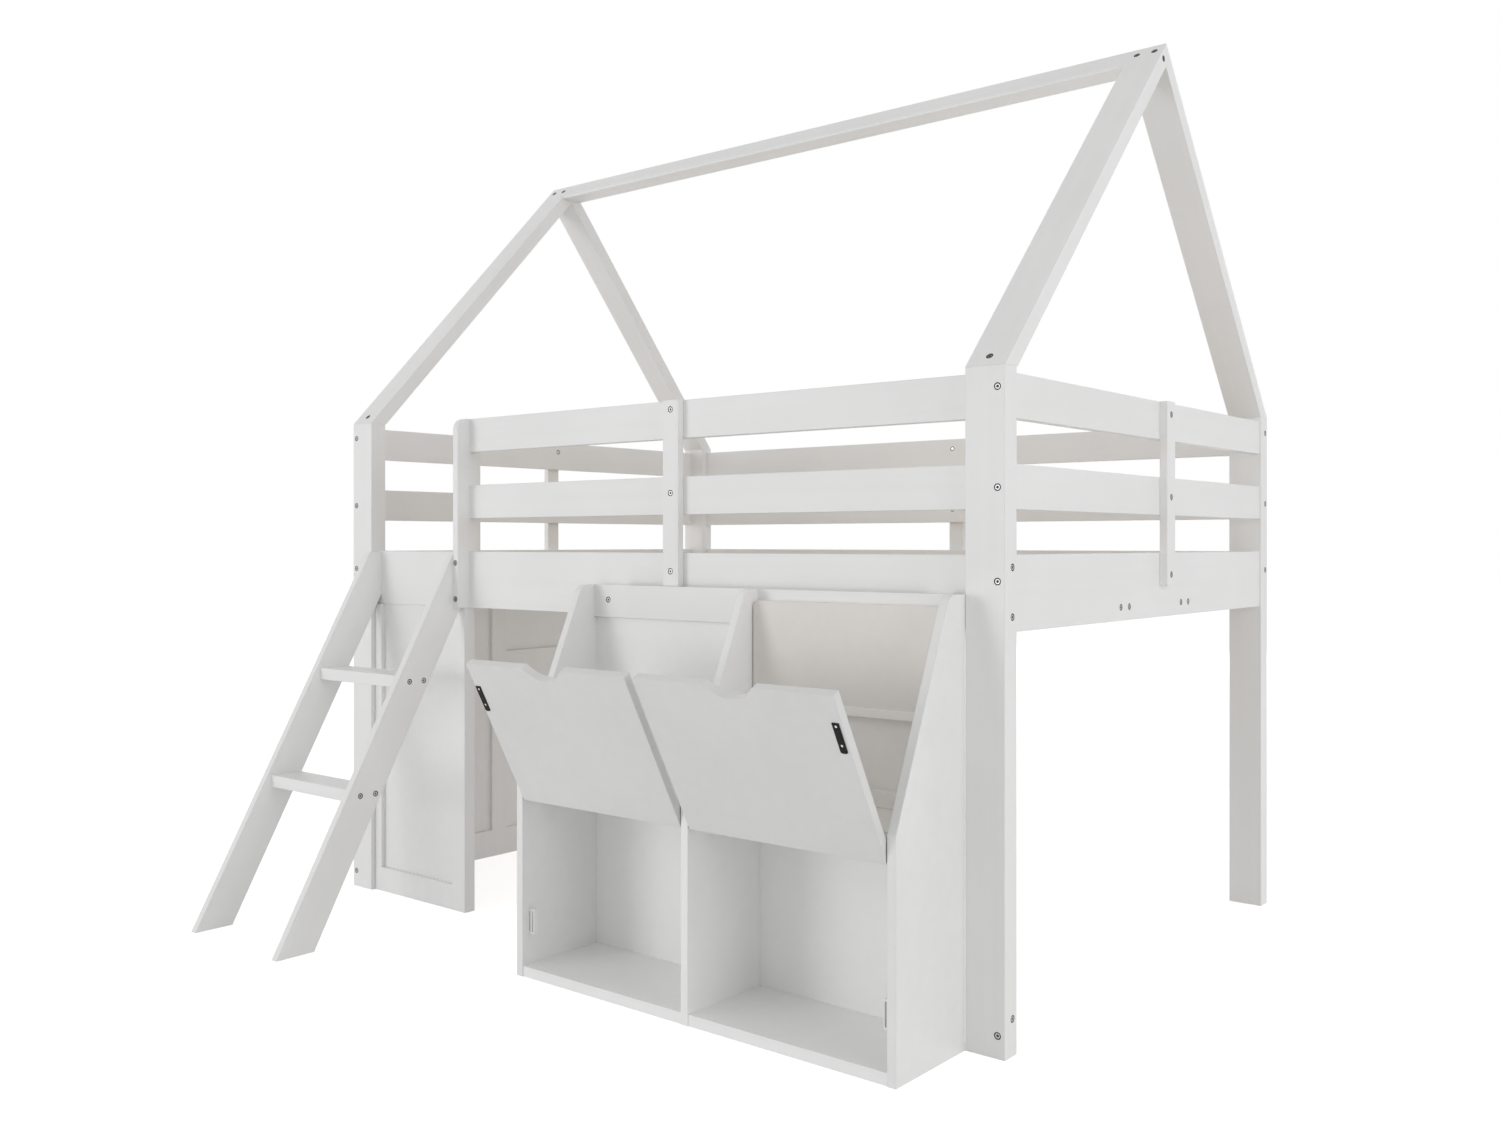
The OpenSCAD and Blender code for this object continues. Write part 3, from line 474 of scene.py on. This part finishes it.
# %% [markdown]
# ## Outlines of small fittings
# A plate, a catch and a screw differ in their outlines: a rectangle with rounded corners, or a
# circle. Both are short lists of points in millimetres, which are easy to shift and to use again.

# %% Outlines
CORNER_POINTS = 5


def circle(radius, count, x=0.0, y=0.0):
    """Points of a circle."""
    turns = [math.tau * i / count for i in range(count)]
    return [(x + radius * math.cos(a), y + radius * math.sin(a)) for a in turns]


def rounded(width, height, top, bottom):
    """Points of a rectangle round its middle, with these radii at its upper and lower corners."""
    points = []
    corners = ((1, 1, 0, top), (-1, 1, 90, top), (-1, -1, 180, bottom), (1, -1, 270, bottom))
    for way_x, way_y, start, radius in corners:
        for k in range(CORNER_POINTS):
            a = math.radians(start + k * 90 / (CORNER_POINTS - 1))
            points.append((way_x * (width / 2 - radius) + radius * math.cos(a),
                           way_y * (height / 2 - radius) + radius * math.sin(a)))
    return points


print("outline helpers ready")

# %% [markdown]
# ## Thin fittings from an outline
# Plates, screws and catches are all the same kind of part: a flat front with an outline, some
# recesses in it, and a thickness. A box with boolean cuts would do, but it leaves ragged meshes.
# Here the front is filled between its outlines, each recess is pushed down and the rim is pulled
# back.

# %% Helper for thin fittings
def wall(mesh, upper, lower):
    """The faces between two closed loops of vertices."""
    for i in range(len(upper)):
        j = (i + 1) % len(upper)
        mesh.faces.new((upper[i], upper[j], lower[j], lower[i]))


def mesh_data(name, mesh):
    """The finished mesh as a data block."""
    data = bpy.data.meshes.new(name)
    mesh.to_mesh(data)
    mesh.free()
    return data


def fitting(name, outline, recesses, thickness, depth, taper=1.0):
    """A fitting that faces +Z at the origin; its recesses' floors take the second material."""
    mesh = bmesh.new()
    loops = [[mesh.verts.new((x * MM, y * MM, 0)) for x, y in points]
             for points in [outline] + recesses]
    rims = []
    for loop in loops:
        rims += [mesh.edges.new((loop[i], loop[(i + 1) % len(loop)])) for i in range(len(loop))]
    bmesh.ops.triangle_fill(mesh, edges=rims, use_beauty=True)
    for loop in loops:
        drop, scale = (thickness, taper) if loop is loops[0] else (depth, 1)
        low = [mesh.verts.new((v.co.x * scale, v.co.y * scale, -drop * MM)) for v in loop]
        wall(mesh, loop, low)
        mesh.faces.new(low).material_index = 0 if loop is loops[0] else 1
    bmesh.ops.recalc_face_normals(mesh, faces=mesh.faces)
    return mesh_data(name, mesh)


print("fitting helper ready")

# %% [markdown]
# ## Put a fitting in its place
# A fitting is made facing up at the origin. Its place is a matrix: where it sits, and which way its
# right and its up go. Each one rides on a body, so that a door's plate swings with the door.

# %% Helpers for places
def linked(name, data):
    """A new object in the scene."""
    made = bpy.data.objects.new(name, data)
    bpy.context.scene.collection.objects.link(made)
    return made


def piece(name, data, body, place, materials):
    """An object from this mesh, in its place, that rides on a body."""
    made = linked(name, data)
    made.matrix_world = place
    if not data.materials:
        for material in materials:
            data.materials.append(material)
    bpy.context.view_layer.update()
    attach(made, body)
    return made


def facing(right, up, spot):
    """A place at spot whose X runs right and Y up, so that +Z faces out."""
    turn = Matrix((right, up, right.cross(up))).transposed().to_4x4()
    return Matrix.Translation(spot) @ turn


print("place helpers ready")

# %% [markdown]
# ## Shapes of a door's plate and screw
# Each door carries a narrow black steel plate near its outer edge, square above and round at the
# lower corners, with two small bright screws. A screw is a disc with a cross pushed into it,
# narrower at the back so that it sits in the plate's hole. Sizes are in millimetres.

# %% Plate and screw
PLATE_W, PLATE_H, PLATE_THICK = 14.5, 62, 1.5
PLATE_TOP_R, PLATE_LOW_R = 0.8, 4
SCREW_R, SCREW_THICK, SCREW_TAPER, SCREW_POINTS = 2.3, 1.0, 0.6, 32
SCREW_HOLE_R, SCREW_HOLE_DEPTH, SCREW_HOLE_POINTS = 2.5, 1.2, 24
SCREW_HEIGHTS = (24, -15)
ARM, HALF, CROSS_DEPTH = 1.3, 0.32, 0.7
CROSS = [(ARM, HALF), (HALF, HALF), (HALF, ARM), (-HALF, ARM), (-HALF, HALF), (-ARM, HALF),
         (-ARM, -HALF), (-HALF, -HALF), (-HALF, -ARM), (HALF, -ARM), (HALF, -HALF), (ARM, -HALF)]
plate_mesh = fitting("door_plate", rounded(PLATE_W, PLATE_H, PLATE_TOP_R, PLATE_LOW_R),
                     [circle(SCREW_HOLE_R, SCREW_HOLE_POINTS, 0, h) for h in SCREW_HEIGHTS],
                     PLATE_THICK, SCREW_HOLE_DEPTH)
screw_mesh = fitting("plate_screw", circle(SCREW_R, SCREW_POINTS), [CROSS],
                     SCREW_THICK, CROSS_DEPTH, SCREW_TAPER)
print("plate:", len(plate_mesh.polygons), "faces, screw:", len(screw_mesh.polygons), "faces")

# %% [markdown]
# ## Plates on the doors
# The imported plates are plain, so these stand for them at the same place. A door leans, so the plate
# is laid in the door's own plane, from its right and up vectors. The cross of each screw stopped at
# its own angle, as real screws do.

# %% Door plates and their screws
DOOR_LEAN = math.radians(28.1)
RIGHT = Vector((1, 0, 0))
UP_DOOR = Vector((0, -math.sin(DOOR_LEAN), math.cos(DOOR_LEAN)))
OUT_DOOR = RIGHT.cross(UP_DOOR)
PLATE_OUT, PLATE_UP, SCREW_SET = 0.75 * MM, 1.5 * MM, 0.1 * MM
SCREW_TURNS = (0.3, 0.9)
for side in ("left", "right"):
    low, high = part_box(side + "_door_plate")
    old = (low + high) / 2
    face = Vector((low.x + PLATE_W / 2 * MM, old.y, old.z))
    face += OUT_DOOR * PLATE_OUT + UP_DOOR * PLATE_UP
    made = piece(side + "_plate", plate_mesh, side + "_door", facing(RIGHT, UP_DOOR, face),
                 [black_coat, black_coat])
    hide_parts(side + "_door_plate")
    for i, height in enumerate(SCREW_HEIGHTS):
        spot = face + UP_DOOR * height * MM - OUT_DOOR * SCREW_SET
        place = facing(RIGHT, UP_DOOR, spot) @ Matrix.Rotation(SCREW_TURNS[i], 4, "Z")
        piece(f"{side}_plate_screw_{i + 1}", screw_mesh, side + "_door", place,
              [bright_steel, socket_dark])
print("door plates: 2, screws: 4")

# %% [markdown]
# ## Catches
# A magnetic catch sits on the outer side of each lower cubby, where a hanging door's plate meets
# it. It is a slim white block, and the grey edges of the magnet's two poles show in slots down its
# front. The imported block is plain, so this one stands for it, with its front at the same place.

# %% Catches
CATCH_W, CATCH_D, CATCH_H = 18, 10, 54
POLE_W, POLE_H, POLE_X, POLE_DEPTH = 4.2, 46, 4.8, 1.5
CATCH_CORNER, POLE_CORNER = 0.6, 0.8
low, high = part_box("catches")
pole = rounded(POLE_W, POLE_H, POLE_CORNER, POLE_CORNER)
poles = [[(x + shift, y) for x, y in pole] for shift in (-POLE_X, POLE_X)]
catch_mesh = fitting("catch", rounded(CATCH_W, CATCH_H, CATCH_CORNER, CATCH_CORNER), poles,
                     CATCH_D, POLE_DEPTH)
UP = Vector((0, 0, 1))
for side, x in (("left", low.x + CATCH_W / 2 * MM), ("right", high.x - CATCH_W / 2 * MM)):
    spot = Vector((x, low.y, (low.z + high.z) / 2))
    piece(side + "_catch", catch_mesh, "frame", facing(RIGHT, UP, spot),
                        [catch_plastic, magnet_steel])
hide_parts("catches")

# %% [markdown]
# ## Separate solids of one mesh
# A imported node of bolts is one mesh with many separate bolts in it. To find each bolt, the search
# starts at any vertex and walks along the edges until nothing new is reached: that is one island.

# %% Helper for islands
def islands(data):
    """Vertex positions of each separate solid in a mesh, as arrays."""
    mesh = bmesh.new()
    mesh.from_mesh(data)
    bmesh.ops.remove_doubles(mesh, verts=mesh.verts, dist=0.01 * MM)
    left = set(mesh.verts)
    found = []
    while left:
        stack = [left.pop()]
        group = []
        while stack:
            vert = stack.pop()
            group.append(tuple(vert.co))
            near = {edge.other_vert(vert) for edge in vert.link_edges} & left
            left -= near
            stack += near
        found.append(np.array(group))
    mesh.free()
    return found


print("island helper ready")

# %% [markdown]
# ## Find the bolt heads
# Every bolt head sits in a drilled hole, and the shaded gap round the bright head is painted as a
# dark ring, a painted shadow. The places are found from the imported bolts themselves, so that they
# always fit: a bolt's axis is its longest direction, and a head is an end with enough vertices near
# the head's radius.

# %% Find the heads
HEAD_R = 6 * MM
END_BAND, NEAR_RIM, FEWEST = 0.2 * MM, 0.9, 8
heads = []
for name in ("frame_bolts", "guard_bolts", "roof_bolts", "ladder_bolts"):
    for points in islands(boards[name].data):
        centred = points - points.mean(0)
        axis = np.linalg.svd(centred, full_matrices=False)[2][0]
        run = centred @ axis
        off = np.linalg.norm(centred - np.outer(run, axis), axis=1)
        for way in (1, -1):
            end = (run * way).max()
            wide = (run * way > end - END_BAND) & (off > HEAD_R * NEAR_RIM)
            if wide.sum() > FEWEST:
                spot = points[wide].mean(0)
                heads.append((Vector(spot), Vector(axis * way)))
print("bolt heads:", len(heads))

# %% [markdown]
# ## Draw the painted shadow rims
# One mesh holds all the rims and socket floors, because they are alike and stay on the frame. A rim
# is a flat ring a hair above the paint, and a shallow cone from it that dips into the hole; its near
# black is a painted shadow of the gap. The socket's floor is a small near black disc down in the
# head, painted shade in the socket.

# %% Rims and sockets
HEAD_SET, PROUD = 0.3 * MM, 0.04 * MM  # how far a head is sunk, and how far a ring stands out
HOLE_R, RIM_R, SOCKET_R = 4.8 * MM, 7.1 * MM, 2.6 * MM
RIM_GAP, RIM_DIP, SOCKET_DEPTH = 0.2 * MM, 0.2 * MM, 0.9 * MM
RIM_POINTS, SOCKET_POINTS = 28, 12
RINGS = [(RIM_R, HEAD_SET + PROUD), (HEAD_R + RIM_GAP, HEAD_SET + PROUD),
         (HOLE_R, HEAD_SET - RIM_DIP)]
mesh = bmesh.new()
for spot, out in heads:
    turn = out.to_track_quat("Z", "Y")
    made = [[mesh.verts.new(spot + turn @ Vector((x, y, z))) for x, y in circle(r, RIM_POINTS)]
            for r, z in RINGS]
    for outer, inner in zip(made, made[1:]):
        wall(mesh, outer, inner)
    floor_ring = [mesh.verts.new(spot + turn @ Vector((x, y, -SOCKET_DEPTH)))
                  for x, y in circle(SOCKET_R, SOCKET_POINTS)]
    mesh.faces.new(floor_ring).material_index = 1
piece("bolt_shadow_rims", mesh_data("bolt_shadow_rims", mesh), "frame", Matrix.Identity(4),
      [bolt_gap_shadow, socket_dark])
print("rims:", len(heads))

# %% [markdown]
# ## Floor
# The photograph has a pure white ground. Lighting a floor to pure white would also overlight the
# bed. Instead the floor is a plain pale surface that adds some white of its own, but only for the
# rays that see it directly. The bed gets none of that light, and its faint shadow stays on the
# floor.

# %% Floor
FLOOR_HALF = 30
FLOOR_GLOW = 0.57


def seen_directly(tree):
    """1 for rays from the camera, from a reflection or through glass, and 0 for all others."""
    path = node(tree, "LightPath").outputs
    seen = maths(tree, "MAXIMUM", path["Is Camera Ray"], path["Is Glossy Ray"])
    return maths(tree, "MAXIMUM", seen, path["Is Transmission Ray"])


mesh = bmesh.new()
bmesh.ops.create_grid(mesh, x_segments=8, y_segments=8, size=FLOOR_HALF)
made = linked("floor", mesh_data("floor", mesh))
coat = bpy.data.materials.new("pale_floor")
coat.use_nodes = True
tree = coat.node_tree
shader = tree.nodes["Principled BSDF"]
shader.inputs["Base Color"].default_value = (0.93, 0.93, 0.93, 1)
shader.inputs["Roughness"].default_value = 0.9
shader.inputs["Specular IOR Level"].default_value = 0.1
shader.inputs["Emission Color"].default_value = (1, 1, 1, 1)
glow = maths(tree, "MULTIPLY", seen_directly(tree), FLOOR_GLOW)
tree.links.new(glow, shader.inputs["Emission Strength"])
made.data.materials.append(coat)
made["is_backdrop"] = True
print("floor glow:", FLOOR_GLOW)

# %% [markdown]
# ## World
# The world is the white behind the floor and the light from everywhere. Seen directly it is full
# white, and for all other rays it is weaker, so that the lamps can still give the boards a lighter
# and a darker side.

# %% World
WORLD_LIGHT = 0.52
world = bpy.data.worlds.new("soft_room")
bpy.context.scene.world = world
world.use_nodes = True
tree = world.node_tree
background = tree.nodes["Background"]
background.inputs["Color"].default_value = (1, 1, 1, 1)
tree.links.new(remap(tree, seen_directly(tree), 0, 1, WORLD_LIGHT, 1),
               background.inputs["Strength"])
print("world light:", WORLD_LIGHT)

# %% [markdown]
# ## Soft lamps
# The light in the photograph comes mostly from the front left and is filled from everywhere else. A
# sun would cut hard edges, so area lamps do it: a large one high at the front left, one at the
# right for the end boards, a small low one that reaches into the case, and one behind for the other
# views.

# %% Lamps
def soft_lamp(name, place, target, size, power):
    """A square area lamp that looks at a point."""
    light = bpy.data.lights.new(name, "AREA")
    light.size = size
    light.energy = power
    made = linked(name, light)
    made.location = place
    made.rotation_euler = (target - Vector(place)).to_track_quat("-Z", "Y").to_euler()


MID_HEIGHT = Vector((0, 0, 1.0))
LAMPS = [("front_left_lamp", (-6.6, -9.6, 3.6), 6.5, 150),
         ("right_lamp", (7.0, -1.1, 2.6), 4.0, 98),
         ("low_left_lamp", (-3.0, -5.6, 0.8), 2.0, 45),
         ("back_lamp", (-1.5, 9.0, 3.2), 5.0, 150)]
for name, place, size, power in LAMPS:
    soft_lamp(name, place, MID_HEIGHT, size, power)
print("lamps:", len(LAMPS))

# %% [markdown]
# ## Camera
# The camera was solved from the photograph: level, at chest height, off the front right corner. A
# level camera keeps the posts upright in the picture, and a small shift of the lens puts the bed at
# its place in the frame.

# %% Camera
LENS, SENSOR = 32.87, 36
SHIFT_X, SHIFT_Y = 0.04162, -0.01325
CAMERA_PLACE, CAMERA_TURN = (2.18806, -2.75691, 0.95177), 0.7085
lens = bpy.data.cameras.new("photo_camera")
lens.lens, lens.sensor_width, lens.sensor_fit = LENS, SENSOR, "HORIZONTAL"
lens.shift_x, lens.shift_y = SHIFT_X, SHIFT_Y
lens.clip_end = 100
camera = linked("photo_camera", lens)
camera.location = CAMERA_PLACE
camera.rotation_euler = (math.pi / 2, 0, CAMERA_TURN)
bpy.context.scene.camera = camera
bpy.context.scene.view_settings.view_transform = "Standard"
print("camera:", [round(v, 3) for v in camera.location])

# %% [markdown]
# ## Compare the size
# The dressed bed should keep to the box of the imported solids: only the rims stand a hair out of it.
# The last lines print how far the dressed bed grew beyond that box, in millimetres.

# %% Sizes
new_low, new_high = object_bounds()
grown = [cad_low - new_low, new_high - cad_high]
print("grown by, in mm:", [[round(v / MM, 2) for v in side] for side in grown])
